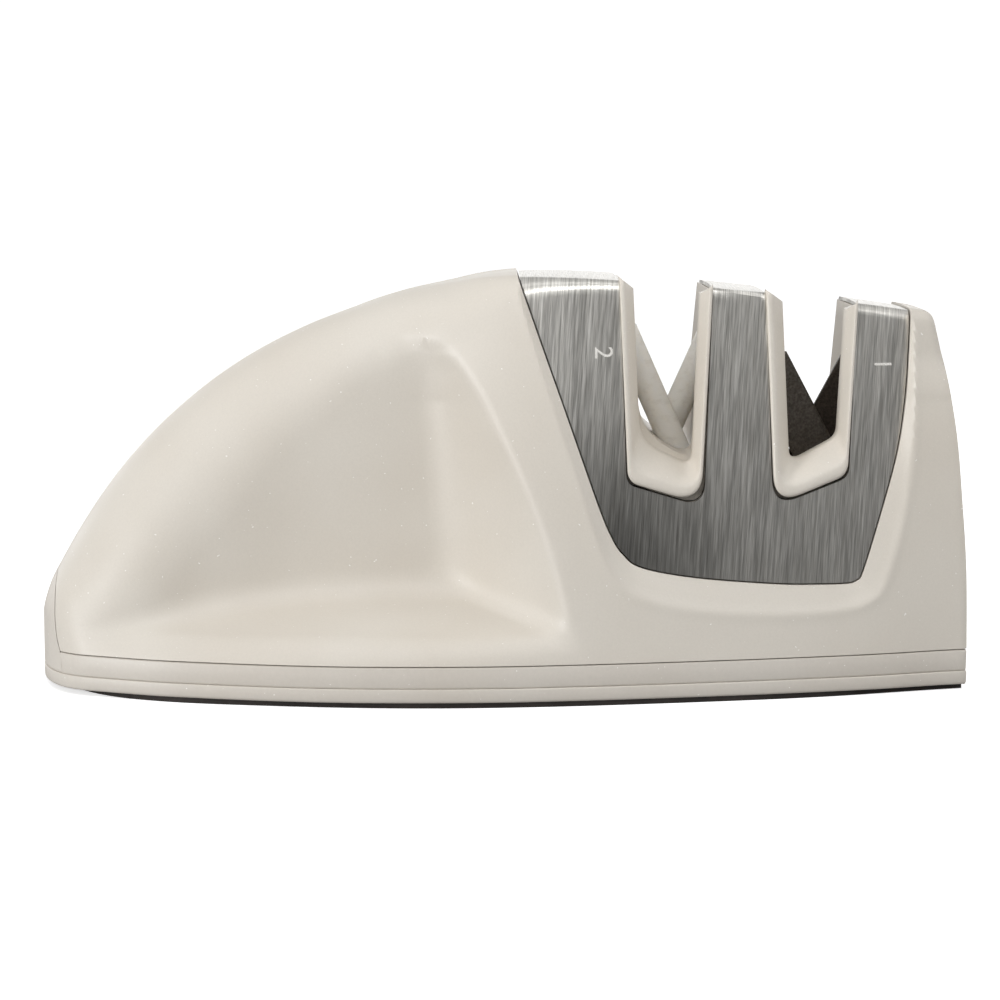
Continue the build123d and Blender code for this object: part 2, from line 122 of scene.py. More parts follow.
crown_round = curve((-20, 9.0), (-14, 8.5), (-8, 7.0), (-2, 4.6), (4, 2.6), (10, 1.8), (66, 1.5))

# Arched spine of the grip along X: half width, its flare into the head, fullness and height of its side
grip_half = curve((-66, 14.3), (-63.1, 15.7), (-58.7, 17.0), (-51.3, 17.2), (-40.4, 14.4), (-29.4, 12.3),
                  (-20, 11.8), (-12, 11.7), (0, 11.8))
grip_wide = curve((-17, 0.0), (-12, 0.7), (-8, 1.9), (-4, 2.4))
grip_full = curve((-46, 2.0), (-34, 2.15), (-22, 2.3), (-14, 2.6), (-8, 3.0))
grip_roll = curve((-66, 3.0), (-63.1, 5.0), (-58.7, 5.5), (-51.3, 9.8), (-40.4, 21.0), (-29.4, 34.0),
                  (-15, 44.8), (-9, 47.5), (-3, 48.0), (8, 42.0), (24, 30.0))

# How far the hull's crown sinks under the spine towards the tail, how the round of the tail eases along X,
# and where the nose stands by height
fade = curve((-44, 6.0), (-30, 4.6), (-20, 2.4), (-16, 1.6), (-12, 0.9), (-8, 0.42), (-4, 0.14), (2, 0.0))
bow_ease = curve((-66, 0.0), (-60, 0.5), (-52, 2.6), (-44, 4.0), (-30, 8.0), (-20, 9.0))
nose = curve((0, 66.0), (7, 66.0), (18.3, 65.75), (26.7, 65.1), (36.7, 64.1), (45, 62.7), (52.5, 61.0),
             (65, 57.6))

# Finger scoop: place and run of its end wall by height, height and fall of its floor along X
end_edge = curve((5, -5.8), (14, -6.1), (28, -7.4), (37, -8.1), (43, -8.7), (47.3, -9.7), (49.1, -11.0),
                 (50.0, -13.4), (50.8, -18), (53, -26))
end_run = curve((5, 1.16), (14, 1.17), (28, 1.125), (37, 0.99), (43, 0.89), (47.3, 0.75), (49.1, 0.7),
                (50.5, 0.3), (52, 0.0))
floor_height = curve((-62, 6.0), (-56, 6.8), (-52.4, 8.2), (-47, 10.0), (-42.5, 11.2), (-28.3, 13.1),
                     (-4.9, 14.1), (12, 14.4))
floor_fall = curve((-60, 0.0), (-54, 0.05), (-50, 0.18), (-44, 0.36), (-27, 0.34), (-7, 0.37), (12, 0.38))


def grows(value, start, end):
    """Share from 0 at the start to 1 at the end."""
    return np.clip((value - start) / (end - start), 0, 1)


def soft_min(a, b, reach):
    """Smaller of two fields, blended where they differ by less than the reach."""
    return np.minimum(a, b) - np.maximum(reach - np.abs(a - b), 0) ** 2 / (4 * reach)


def soft_max(a, b, reach):
    """Larger of two fields, blended in the same way."""
    return -soft_min(-a, -b, reach)


def rounded(a, b, radius):
    """Meeting of two outer faces with a rounded edge."""
    outside = np.hypot(np.maximum(a + radius, 0), np.maximum(b + radius, 0))
    return np.minimum(np.maximum(a, b), -radius) + outside


def side_half(x, z):
    """Half width of the body's flank before its scoops."""
    lean = (foot(x) - shoulder(x)) / (crown(x) - SEAM)
    return foot(x) - lean * (np.maximum(z, SEAM) - SEAM)


def hull(x, y, z, inset=0.0, drop=0.0):
    """Body without its scoops: below zero inside."""
    flank = y - side_half(x, z) + inset
    top = z - crown(x) + CROWN_CAMBER * y**2 + drop + fade(x)
    front = x - nose(z) + inset
    return rounded(rounded(flank, top, crown_round(x)), front, NOSE_EDGE)


def grip(x, y, z):
    """Arched spine of the grip: below zero inside."""
    half = grip_half(x) + grip_wide(x) * grows(z, *SPINE_WIDENS)
    low = grip_roll(x)
    rise = crown(x) - fade(2 * HANDOVER - x) - low
    full = grip_full(x)
    arch = (np.abs(y) / half) ** full + (np.maximum(z - low, 0) / rise) ** full
    return (arch ** (1 / full) - 1) * half


def scoop_rim(z):
    """How softly the scoop meets the flank: more at its foot and where it runs out at the top."""
    return 1.0 + 1.4 * grows(z, 13, 8) + 1.2 * grows(z, 46, 50)


def spine_rim(z):
    """How softly the spine meets the flanks."""
    return np.interp(z, (42, 48, 50, 54.5), (3.6, 1.8, 1.8, 3.6))


def body(x, y, z):
    """Whole moulded body with its scoops, grip and rounded tail: below zero inside."""
    y = np.abs(y)
    high = np.maximum(z, SEAM)
    end = end_edge(high) + end_run(high) * (y - SPINE_SIDE) - x
    floor = high - floor_height(x) + floor_fall(x) * (y - grip_half(x))
    scoop = soft_min(end, floor, SCOOP_CORNER)
    flanks = soft_max(hull(x, y, high), scoop, scoop_rim(high))
    both = soft_min(grip(x, y, high), flanks, spine_rim(high))
    ahead = np.maximum(TAIL + TAIL_ROUND - x, 0)
    tail = (ahead**TAIL_POWER + y**TAIL_POWER) ** (1 / TAIL_POWER) - TAIL_ROUND - bow_ease(x)
    return rounded(both, tail, TAIL_EDGE)


def hollow(x, y, z):
    """Room inside the shell, whose wall is thicker in the head: below zero inside."""
    return body(x, y, z) + (WALL + HEAD_EXTRA_WALL * grows(x, *HEAD_FROM))


def face_half(x, z):
    """Half width of the head's face, with the rounded edge of its crown."""
    radius = crown_round(x)
    rise = np.clip(z - crown(x) + radius, 0, radius)
    return side_half(x, z) - radius + np.sqrt(radius**2 - rise**2)


def place(station, z):
    """X of a station, a share of the length. Stations follow the lean of the nose."""
    return TAIL + (nose(z) - TAIL) * station


def solve(field, station, angle, base, farthest=80.0, halvings=34):
    """Distance from the middle of the bottom to the surface, at each station and angle."""
    near = np.zeros(np.broadcast(station, angle).shape)
    far = near + farthest
    for _ in range(halvings):
        middle = (near + far) / 2
        z = base + middle * np.sin(angle)
        within = field(place(station, z), middle * np.cos(angle), z) < 0
        near = np.where(within, middle, near)
        far = np.where(within, far, middle)
    return near


def sections(field, stations, columns, base, trials=260):
    """Grid of points over one half of a body, evenly spaced along each section."""
    station = np.array(stations)[:, None]
    angle = np.linspace(0, math.pi / 2, trials)[None, :] + 0 * station
    reach = solve(field, station, angle, base)
    y, z = reach * np.cos(angle), reach * np.sin(angle)
    run = np.hypot(np.diff(y, axis=1), np.diff(z, axis=1))
    run = np.concatenate((np.zeros_like(station), np.cumsum(run, axis=1)), axis=1)
    share = np.linspace(0, 1, columns)
    even = np.array([np.interp(share * r[-1], r, a) for r, a in zip(run, angle)])
    reach = solve(field, station, even, base)
    y, z = reach * np.cos(even), base + reach * np.sin(even)
    y[:, -1] = 0
    return np.stack((place(station, z), -y, z), axis=2)


def linked(name, data):
    """New object in the scene."""
    item = bpy.data.objects.new(name, data)
    bpy.context.scene.collection.objects.link(item)
    return item


def weld(mesh, distance):
    """Merges doubled points and turns all faces outwards."""
    tool = bmesh.new()
    tool.from_mesh(mesh)
    bmesh.ops.remove_doubles(tool, verts=tool.verts, dist=distance)
    bmesh.ops.recalc_face_normals(tool, faces=tool.faces)
    tool.to_mesh(mesh)
    tool.free()


def mesh_object(name, points, faces):
    """Object from points in millimetres."""
    mesh = bpy.data.meshes.new(name)
    mesh.from_pydata([tuple(p) for p in np.asarray(points, float) * MM], [], faces)
    item = linked(name, mesh)
    weld(mesh, WELD)
    return item


def loft(name, grid):
    """Closed solid from half sections: the other half is mirrored, the ends and the bottom are closed."""
    other = grid[:, -2::-1] * (1, -1, 1)
    full = np.concatenate((grid, other), axis=1)
    rows, columns = full.shape[:2]
    index = np.arange(rows * columns).reshape(rows, columns)
    faces = []
    for i in range(rows - 1):
        for j in range(columns - 1):
            faces.append((index[i, j], index[i + 1, j], index[i + 1, j + 1], index[i, j + 1]))
        faces.append((index[i, 0], index[i, -1], index[i + 1, -1], index[i + 1, 0]))
    for i in (0, rows - 1):
        for j in range(columns // 2):
            k = columns - 1 - j
            if k - j > 2:
                faces.append((index[i, j], index[i, j + 1], index[i, k - 1], index[i, k]))
            else:
                faces.append((index[i, j], index[i, j + 1], index[i, k]))
    return mesh_object(name, full.reshape(-1, 3), [tuple(int(v) for v in f) for f in faces])


def prism(name, line, half_depth=45.0):
    """Closed outline in front view pushed right through the object."""
    count = len(line)
    points = [(x, y, z) for y in (-half_depth, half_depth) for x, z in line]
    faces = [(i, (i + 1) % count, (i + 1) % count + count, i + count) for i in range(count)]
    faces += [tuple(range(count)), tuple(range(2 * count - 1, count - 1, -1))]
    return mesh_object(name, points, faces)


def combine(item, other, operation):
    """Boolean applied to the mesh. The other object is used up."""
    step = item.modifiers.new("cut", "BOOLEAN")
    step.object = other
    step.operation = operation
    step.solver = "EXACT"
    bpy.context.view_layer.update()
    ready = item.evaluated_get(bpy.context.evaluated_depsgraph_get())
    mesh = bpy.data.meshes.new_from_object(ready)
    item.modifiers.remove(step)
    item.data = mesh
    bpy.data.objects.remove(other)


def join(item, *others):
    """Meshes of one piece put into one object."""
    tool = bmesh.new()
    for part in (item, *others):
        tool.from_mesh(part.data)
    tool.to_mesh(item.data)
    tool.free()
    for part in others:
        bpy.data.objects.remove(part)


def spline(points, steps):
    """Points along a smooth open line through the given ones."""
    p = np.array(points, float)
    p = np.concatenate((p[:1], p, p[-1:]))
    out = []
    for a, b, c, d in zip(p, p[1:], p[2:], p[3:]):
        for t in np.arange(steps) / steps:
            bend = (2 * a - 5 * b + 4 * c - d) * t**2
            twist = (3 * b - a - 3 * c + d) * t**3
            out.append(0.5 * (2 * b + (c - a) * t + bend + twist))
    out.append(p[-1])
    return np.array(out)


def grown(line, amount):
    """Closed outline moved outwards."""
    ahead = np.roll(line, -1, axis=0) - np.roll(line, 1, axis=0)
    ahead /= np.linalg.norm(ahead, axis=1)[:, None]
    area = np.sum(line[:, 0] * np.roll(line[:, 1], -1) - line[:, 1] * np.roll(line[:, 0], -1))
    out = np.stack((ahead[:, 1], -ahead[:, 0]), axis=1) * np.sign(area)
    return line + out * amount


def distance(x, z, line):
    """Distance from points to an open line."""
    best = np.full(x.shape, np.inf)
    for (ax, az), (bx, bz) in zip(line[:-1], line[1:]):
        dx, dz = bx - ax, bz - az
        t = np.clip(((x - ax) * dx + (z - az) * dz) / (dx * dx + dz * dz), 0, 1)
        best = np.minimum(best, np.hypot(x - ax - t * dx, z - az - t * dz))
    return best


def inside(x, z, line):
    """Whether points lie inside a closed line."""
    hit = np.zeros(x.shape, bool)
    for (ax, az), (bx, bz) in zip(line, np.roll(line, -1, axis=0)):
        if az == bz:
            continue
        across = (az > z) != (bz > z)
        hit ^= across & (x < (bx - ax) * (z - az) / (bz - az) + ax)
    return hit


# Front view lines of the steel sheet and of the ridge around it
cover_edge = spline([(1.0, 64.5), (2.5, 58.9), (6.2, 48.3), (9.6, 38.8), (13.7, 27.2), (15.5, 22.9),
                     (17.0, 20.6), (19.6, 18.7), (27.1, 17.15), (38.5, 16.0), (44.8, 15.75), (48.6, 15.75),
                     (49.9, 16.1), (50.8, 17.4), (53.3, 25.2), (55.6, 33.4), (56.8, 40.9), (57.3, 47.9),
                     (57.5, 53.8), (57.6, 64.5)], 6)
ridge_edge = spline([(0.2, 64.5), (1.9, 58.9), (4.9, 48.3), (7.9, 38.8), (11.6, 27.8), (13.4, 22.0),
                     (15.6, 17.6), (19.1, 14.7), (26.9, 12.7), (39.2, 11.8), (48.0, 12.1), (51.6, 13.1),
                     (53.9, 15.4), (56.6, 24.2), (57.9, 33.4), (58.1, 40.9), (58.0, 47.9), (58.0, 53.8),
                     (58.1, 64.5)], 6)

# Heel of the grip, where the frame rises behind the shell
HEEL_FOOT = 2.4
HEEL_TOP = 18.6
BEHIND_TAIL = -71.0
heel_line = spline([(-61.6, HEEL_FOOT), (-61.9, 5.6), (-62.4, 7.2), (-62.75, 9.6), (-62.9, 12.3),
                    (-63.05, 14.2), (-63.4, 16.2), (-64.4, HEEL_TOP)], 8)
heel = np.concatenate((heel_line, [(BEHIND_TAIL, HEEL_TOP), (BEHIND_TAIL, HEEL_FOOT)]))

# Where the shell, its room and the lip of the frame are cut into sections, closest together where they turn:
# distances from the tail, and from the nose where the name says so
NEAR_TAIL = [0.02, 0.08, 0.2, 0.4, 0.7, 1.05, 1.45, 1.9, 2.4, 2.95, 3.5]
NEAR_NOSE = [1.7, 1.35, 1.05, 0.8, 0.58, 0.4, 0.25, 0.14, 0.06, 0.015]
ALONG_GRIP = np.arange(4.0, 62.0, 0.56)
ALONG_HEAD = np.arange(62.0, 130.0, 0.42)
ROOM_START = 2.3
ALONG_ROOM = np.linspace(4, 124, 70)
ROOM_NEAR_NOSE = [4.6, 4.2, 4.05]
ALONG_LIP = np.arange(4.0, 10.0, 0.5)


def from_tail(*groups):
    """Stations for distances from the tail."""
    return np.concatenate(groups) / LENGTH


def from_nose(distances):
    """Distances from the tail for distances from the nose."""
    return LENGTH - np.array(distances)


def shell_face():
    """Grid of the shell's outer face, with the border that slopes from the ridge to the steel sheet."""
    stations = from_tail(NEAR_TAIL, ALONG_GRIP, ALONG_HEAD, from_nose(NEAR_NOSE))
    grid = sections(body, stations, columns=128, base=SEAM)
    x, y, z = grid[..., 0], grid[..., 1], grid[..., 2]
    to_ridge = distance(x, z, ridge_edge)
    width = distance(x, z, cover_edge) + to_ridge
    outwards = np.where(inside(x, z, ridge_edge), -to_ridge, to_ridge)
    at_ridge = (RIDGE_BLEND - outwards) ** 2 / (4 * RIDGE_BLEND)
    inwards = np.where(np.abs(outwards) < RIDGE_BLEND, at_ridge, np.maximum(-outwards, 0))
    slope = RECESS * np.clip(inwards / np.maximum(width, LEAST_BORDER), 0, 1)
    depth = np.where(inside(x, z, cover_edge), RECESS, slope)
    bead = BEAD_HEIGHT * np.exp(-(outwards / BEAD_WIDTH) ** 2)
    below_crown = np.clip((crown(x) - z - BORDER_TOP) / BORDER_RUN_OUT, 0, 1)
    grid[..., 1] = np.minimum(y + (depth - bead) * below_crown, 0)
    return grid


def head_block(name, inset, drop, rows, columns, start=60.0, last=129.5, nose_end=131.7):
    """Head of the body moved inwards, for the sheet and its seat. It runs between distances from the tail."""

    def field(x, y, z):
        return hull(x, np.abs(y), np.maximum(z, SEAM), inset, drop)

    end = min(last, nose_end - inset)
    return loft(name, sections(field, np.linspace(start, end, rows) / LENGTH, columns, SEAM))


# Each U: x of both sides at the crown, the two low corners, and how far the corners are rounded
LINES = {
    "fine": {
        "collar": ((16.49, 29.60), ((17.66, 30.30), (27.85, 27.15)), (1.6, 4.4)),
        "throat": ((18.62, 27.95), ((19.50, 35.45), (26.75, 32.05)), (3.2, 2.0)),
        "behind": ((17.50, 29.35), ((19.90, 36.30), (27.50, 32.20)), (4.2, 3.4)),
        "sheet": ((16.26, 30.00), ((17.45, 29.95), (28.30, 26.60)), (1.4, 3.4)),
    },
    "coarse": {
        "collar": ((37.00, 50.15), ((38.20, 26.75), (48.60, 30.70)), (4.2, 1.7)),
        "throat": ((39.68, 48.70), ((40.62, 32.30), (47.45, 35.75)), (2.0, 1.3)),
        "behind": ((37.90, 49.90), ((39.70, 30.60), (48.35, 31.40)), (6.0, 2.5)),
        "sheet": ((36.78, 50.42), ((37.95, 26.35), (48.85, 30.35)), (4.0, 1.5)),
    },
}

# Front of a guide: share of the way from collar to throat, and depth behind the front face
FLARE = [(0.0, 3.4), (0.0, 1.9), (0.0, 1.3), (0.0, 1.0), (0.03, 0.72), (0.08, 0.56), (0.15, 0.5),
         (0.27, 0.52), (0.34, 0.62), (0.42, 0.86), (0.55, 1.42), (0.68, 2.05), (0.80, 2.65), (0.90, 3.15),
         (0.96, 3.55), (0.99, 4.0), (1.0, 4.8), (1.0, 6.0), (0.97, 6.6)]

# Back of a guide: share of the way from its wide room to the collar, and depth from the back face
BACK_LIP = [(0.0, 1.0), (0.0, 0.68), (0.5, 0.5), (1.0, 0.7), (1.0, 1.1), (1.0, 1.9), (1.0, 3.4)]

# Depths of the throat's end and of a guide's flanges
THROAT_END = 7.4
FLANGE = (3.4, 7.0)

# How far a guide ends under the crown, in the depth of its front, behind that and at its throat, and how
# far a slot's block stands above the crown
FRONT_DEPTH = 3.0
TOP_GAP_FRONT = 0.05
TOP_GAP = 1.0
THROAT_GAP = 1.6
SLOT_ABOVE_CROWN = 8.0

# Edges of the lower tiers, from below: height, and inset from the plan of the shell's bottom
PLATE_RINGS = [(1.1, 0.5), (0.8, 0.5), (0.73, 0.4), (0.76, 0.22), (0.87, 0.09), (1.1, 0.0), (2.5, -0.04),
               (2.62, 0.0), (2.68, 0.1), (2.69, 0.4)]
FRAME_RINGS = [(2.72, 0.4), (2.73, 0.2), (2.8, 0.12), (3.0, 0.06), (5.5, 0.0), (5.62, 0.05), (5.68, 0.15),
               (5.7, 0.4)]

# Posts of the frame, which carry the holders: their X, and their top edge as drop and inset
POSTS = {"fine": 23.1, "coarse": 43.5}
POST_FOOT = 5.5
POST_TOP = 20.9
POST_RADIUS = 4.0
POST_EDGE = [(0.4, 0.0), (0.12, 0.12), (0.0, 0.4)]

# Foot of the lip that the frame raises at the heel
LIP_FOOT = 3.1

# Numerals on the steel: name, number and place in front view, then height, thickness and what stands out
NUMERALS = [("etched_number_fine", "2", 14.2, 48.0), ("etched_number_coarse", "1", 53.6, 46.0)]
NUMERAL_HEIGHT = 3.6
NUMERAL_THICKNESS = 0.05
NUMERAL_RAISED = 0.012

# Brushing of the steel: its lean in degrees. Painted shade on the sheet: the heights over which it lightens
# from dark low down, and the low corner with the reach of the painted dark patch round it
BRUSH_LEAN = 4.0
PAINTED_SHADE_HEIGHTS = (15.0, 55.0)
PAINTED_SHADE_CORNER = (16.5, -21.0, 20.0)
PAINTED_SHADE_REACH = 20.0

# Studio, in metres and degrees: floor and its gap under the foot, aim of the lights, dip of the camera
FLOOR_SIZE = 40
FLOOR_GAP = 0.02 * MM
MIDDLE = (0, 0, 0.03)
CAMERA_DIP = 6.98


def u_line(side, low, high, corners, side_points=30, corner_points=11, low_points=16, crowding=1.7):
    """U shaped line: down the left side, round the bottom and up the right side."""
    a, b, c, d = (np.array(p, float) for p in ((side[0], high[0]), low[0], low[1], (side[1], high[1])))

    def arc(p, q, r, reach):
        u = (p - q) / np.linalg.norm(p - q)
        v = (r - q) / np.linalg.norm(r - q)
        t = np.linspace(0, 1, corner_points)[:, None]
        return (1 - t) ** 2 * (q + u * reach) + 2 * t * (1 - t) * q + t**2 * (q + v * reach)

    left, right = arc(a, b, c, corners[0]), arc(b, c, d, corners[1])
    down = np.linspace(0, 1, side_points, endpoint=False)[:, None] ** crowding
    across = np.linspace(0, 1, low_points + 2)[1:-1, None]
    bottom = left[-1] + (right[0] - left[-1]) * across
    return np.concatenate((a + (left[0] - a) * down, left, bottom, right, (d + (right[-1] - d) * down)[::-1]))


def u_shape(stage, which, rise):
    """One of the stage's lines, from a height above the crown down and up again."""
    side, low, corners = LINES[stage][which]
    return u_line(side, low, [float(crown(x)) + rise for x in side], corners)


def slot(stage, gap):
    """Block that cuts one slot right through, grown by a gap."""
    return prism(stage + "_slot", grown(u_shape(stage, "sheet", SLOT_ABOVE_CROWN), gap))


def guide(stage):
    """Slot guide: rounded lip in front, flare to the throat, wide room behind it, flanges under the sheet."""
    collar = u_shape(stage, "collar", -TOP_GAP_FRONT)
    throat = u_shape(stage, "throat", -THROAT_GAP)
    behind = u_shape(stage, "behind", -TOP_GAP)
    flange = u_shape(stage, "sheet", -TOP_GAP)

    # Each row of points: its line in front view, its depth, and the face that this counts from, -1 in front
    rows = [(flange, depth, -1) for depth in reversed(FLANGE)]
    rows += [(collar + (throat - collar) * share, depth, -1) for share, depth in FLARE]
    rows += [(behind, THROAT_END, -1)]
    rows += [(collar * share + behind * (1 - share), depth, 1) for share, depth in BACK_LIP]
    rows += [(flange, depth, 1) for depth in FLANGE]
    ring = []
    for line, depth, side in rows:
        half = face_half(*line.T)
        y = side * (half - depth)
        top = crown(line[:, 0]) - np.where(y > FRONT_DEPTH - half, TOP_GAP, TOP_GAP_FRONT)
        ring.append(np.stack((line[:, 0], y, np.minimum(line[:, 1], top)), axis=1))
    laps, count = len(ring), len(collar)

    def at(step, row):
        return step * laps + row % laps

    faces = []
    for s in range(count - 1):
        faces += [(at(s, r), at(s, r + 1), at(s + 1, r + 1), at(s + 1, r)) for r in range(laps)]
    faces += [tuple(at(s, r) for r in range(laps)) for s in (0, count - 1)]
    points = np.array(ring).transpose(1, 0, 2).reshape(-1, 3)
    return mesh_object(stage + "_slot_guide", points, faces)


def moulded_shell(outer_face):
    """Hollow shell with the seat of the sheet, both slots and the line where the frame's heel meets it."""
    shell = loft("upper_shell_moulded", outer_face)
    stations = from_tail([ROOM_START], ALONG_ROOM, from_nose(ROOM_NEAR_NOSE))
    room = sections(hollow, stations, columns=40, base=SEAM)
    room = np.concatenate((room[:, :1] - (0, 0, OVERRUN), room), axis=1)
    combine(shell, loft("room", room), "DIFFERENCE")
    under_flank = RECESS + SHEET + ROOM_UNDER_FLANK
    under_crown = SHEET_DROP + SHEET + ROOM_UNDER_CROWN
    core = head_block("core", under_flank, under_crown, rows=50, columns=40)
    seat = prism("seat", grown(cover_edge, SEAT_GAP))
    combine(seat, core, "DIFFERENCE")
    combine(shell, seat, "DIFFERENCE")
    for stage in LINES:
        combine(shell, slot(stage, SLOT_GAP), "DIFFERENCE")
    combine(shell, prism("heel", grown(heel, HEEL_GAP)), "DIFFERENCE")
    return shell


def bent_sheet():
    """Steel sheet bent over the head, with its two slots."""
    sheet = head_block("steel_cover_sheet", RECESS, SHEET_DROP, rows=130, columns=100)
    under = head_block("under_sheet", RECESS + SHEET, SHEET_DROP + SHEET, rows=60, columns=50)
    combine(sheet, under, "DIFFERENCE")
    combine(sheet, prism("cover_outline", cover_edge), "INTERSECT")
    for stage in LINES:
        combine(sheet, slot(stage, 0.0), "DIFFERENCE")
    return sheet


def tier(name, loop, rings):
    """Flat piece with the plan of the shell's bottom, its edge drawn by rings of height and inset."""
    count = len(loop)
    points = [(x, y, z) for z, inset in rings for x, y in grown(loop, -inset)]
    faces = []
    for r in range(len(rings) - 1):
        for i in range(count):
            j = (i + 1) % count
            faces.append((r * count + i, r * count + j, (r + 1) * count + j, (r + 1) * count + i))
    for base in (0, (len(rings) - 1) * count):
        for i in range(count // 2 - 1):
            faces.append((base + i, base + i + 1, base + count - 2 - i, base + count - 1 - i))
    return mesh_object(name, points, faces)


def post(name, x, sides=40):
    """Round post for a holder, with a rounded top edge."""
    turn = np.linspace(0, 2 * math.pi, sides, endpoint=False)
    rings = [(POST_FOOT, 0.0)] + [(POST_TOP - drop, inset) for drop, inset in POST_EDGE]
    points = []
    for z, inset in rings:
        radius = POST_RADIUS - inset
        points += [(x + radius * math.cos(t), radius * math.sin(t), z) for t in turn]
    faces = []
    for base in range(0, sides * (len(rings) - 1), sides):
        for i in range(sides):
            j = (i + 1) % sides
            faces.append((base + i, base + j, base + sides + j, base + sides + i))
    faces += [tuple(range(sides)), tuple(range(len(points) - sides, len(points)))]
    return mesh_object(name, points, faces)


def frame_tier(loop):
    """Upper tier with the lip at the heel of the grip and the posts of the holders."""
    rim = tier("base_frame_moulded", loop, FRAME_RINGS)
    lip = loft("heel_lip", sections(body, from_tail(NEAR_TAIL, ALONG_LIP), columns=80, base=LIP_FOOT))
    combine(lip, prism("heel", heel), "INTERSECT")
    join(rim, lip, *(post(stage + "_post", x) for stage, x in POSTS.items()))
    return rim


def nodes_of(name):
    """New material, its tree and its shader."""
    material = bpy.data.materials.new(name)
    material.use_nodes = True
    tree = material.node_tree
    return material, tree, tree.nodes["Principled BSDF"]


def tone(red, green, blue):
    """Colour from its 8 bit sRGB values."""
    out = []
    for v in (red, green, blue):
        v /= 255
        out.append(v / 12.92 if v <= 0.04045 else ((v + 0.055) / 1.055) ** 2.4)
    return (*out, 1.0)


def grey(v):
    return (v, v, v, 1.0)


def objects_place(tree):
    """Object coordinates, in metres."""
    return tree.nodes.new("ShaderNodeTexCoord").outputs["Object"]


def noise(tree, place, size, detail=3.0, rough=0.55):
    """Noise whose features measure about the given millimetres."""
    item = tree.nodes.new("ShaderNodeTexNoise")
    item.inputs["Scale"].default_value = 1 / (size * MM)
    item.inputs["Detail"].default_value = detail
    item.inputs["Roughness"].default_value = rough
    tree.links.new(place, item.inputs["Vector"])
    return item.outputs["Fac"]


def ramp(tree, source, *stops):
    """Colour that follows a value: each stop is a value and its colour."""
    item = tree.nodes.new("ShaderNodeValToRGB")
    band = item.color_ramp
    while len(band.elements) < len(stops):
        band.elements.new(0.5)
    for element, (where, colour) in zip(band.elements, stops):
        element.position = where
        element.color = colour
    tree.links.new(source, item.inputs["Fac"])
    return item.outputs["Color"]


def greys(tree, source, *stops):
    """Grey that follows a value: each stop is a value and its grey."""
    return ramp(tree, source, *((where, grey(v)) for where, v in stops))


def mix(tree, kind, share, a, b):
    """Two colours mixed. Each of share, a and b is a value or the output of a node."""
    item = tree.nodes.new("ShaderNodeMix")
    item.data_type = "RGBA"
    item.blend_type = kind
    for socket, value in ((item.inputs[0], share), (item.inputs[6], a), (item.inputs[7], b)):
        if isinstance(value, (float, int, tuple)):
            socket.default_value = value
        else:
            tree.links.new(value, socket)
    return item.outputs[2]


def shaded(tree, strength, base, source, *stops):
    """Base colour darkened by a pattern, whose stops are values and their greys."""
    return mix(tree, "MULTIPLY", strength, base, greys(tree, source, *stops))


def uneven_gloss(tree, shader, source, bright, dull):
    """Roughness that follows a pattern, from its bright to its dull value."""
    tree.links.new(greys(tree, source, (0.3, bright), (0.7, dull)), shader.inputs["Roughness"])


def stretched(tree, place, lean, scale, kind="POINT"):
    """Place turned about Y by degrees and scaled."""
    item = tree.nodes.new("ShaderNodeMapping")
    item.vector_type = kind
    item.inputs["Rotation"].default_value = (0, math.radians(lean), 0)
    item.inputs["Scale"].default_value = scale
    tree.links.new(place, item.inputs["Vector"])
    return item.outputs["Vector"]


def spread(tree, source, low, high):
    """Share from 0 to 1 as a value goes from low to high."""
    item = tree.nodes.new("ShaderNodeMapRange")
    item.inputs["From Min"].default_value = low
    item.inputs["From Max"].default_value = high
    tree.links.new(source, item.inputs["Value"])
    return item.outputs[0]


def axis(tree, place, name):
    """One coordinate of a place."""
    item = tree.nodes.new("ShaderNodeSeparateXYZ")
    tree.links.new(place, item.inputs[0])
    return item.outputs[name]


def relief(tree, shader, *layers):
    """Bumps stacked from height, depth in millimetres."""
    last = None
    for height, depth in layers:
        item = tree.nodes.new("ShaderNodeBump")
        item.inputs["Strength"].default_value = 1.0
        item.inputs["Distance"].default_value = depth * MM
        tree.links.new(height, item.inputs["Height"])
        if last:
            tree.links.new(last, item.inputs["Normal"])
        last = item.outputs["Normal"]
    tree.links.new(last, shader.inputs["Normal"])


def moulded(name, dark, light, grain=0.30, depth=0.015, gloss=0.42):
    """Fine grained moulded plastic with faint clouds, dust specks and a little uneven gloss."""
    material, tree, shader = nodes_of(name)
    place = objects_place(tree)
    clouds = ramp(tree, noise(tree, place, size=26, detail=2.0), (0.35, dark), (0.65, light))
    fine = noise(tree, place, size=grain, detail=2.0, rough=0.6)
    grained = shaded(tree, 0.13, clouds, fine, (0.3, 0.72), (0.7, 1.0))
    dust = greys(tree, noise(tree, place, size=0.5, detail=1.0), (0.770, 0), (0.785, 1))
    dusty = mix(tree, "MIX", dust, grained, tone(246, 243, 238))
    tree.links.new(dusty, shader.inputs["Base Color"])
    uneven_gloss(tree, shader, noise(tree, place, size=9), gloss - 0.05, gloss + 0.07)
    shader.inputs["IOR"].default_value = 1.48
    relief(tree, shader, (noise(tree, place, size=4.5, detail=2.0), depth * 1.2), (fine, depth))
    return material


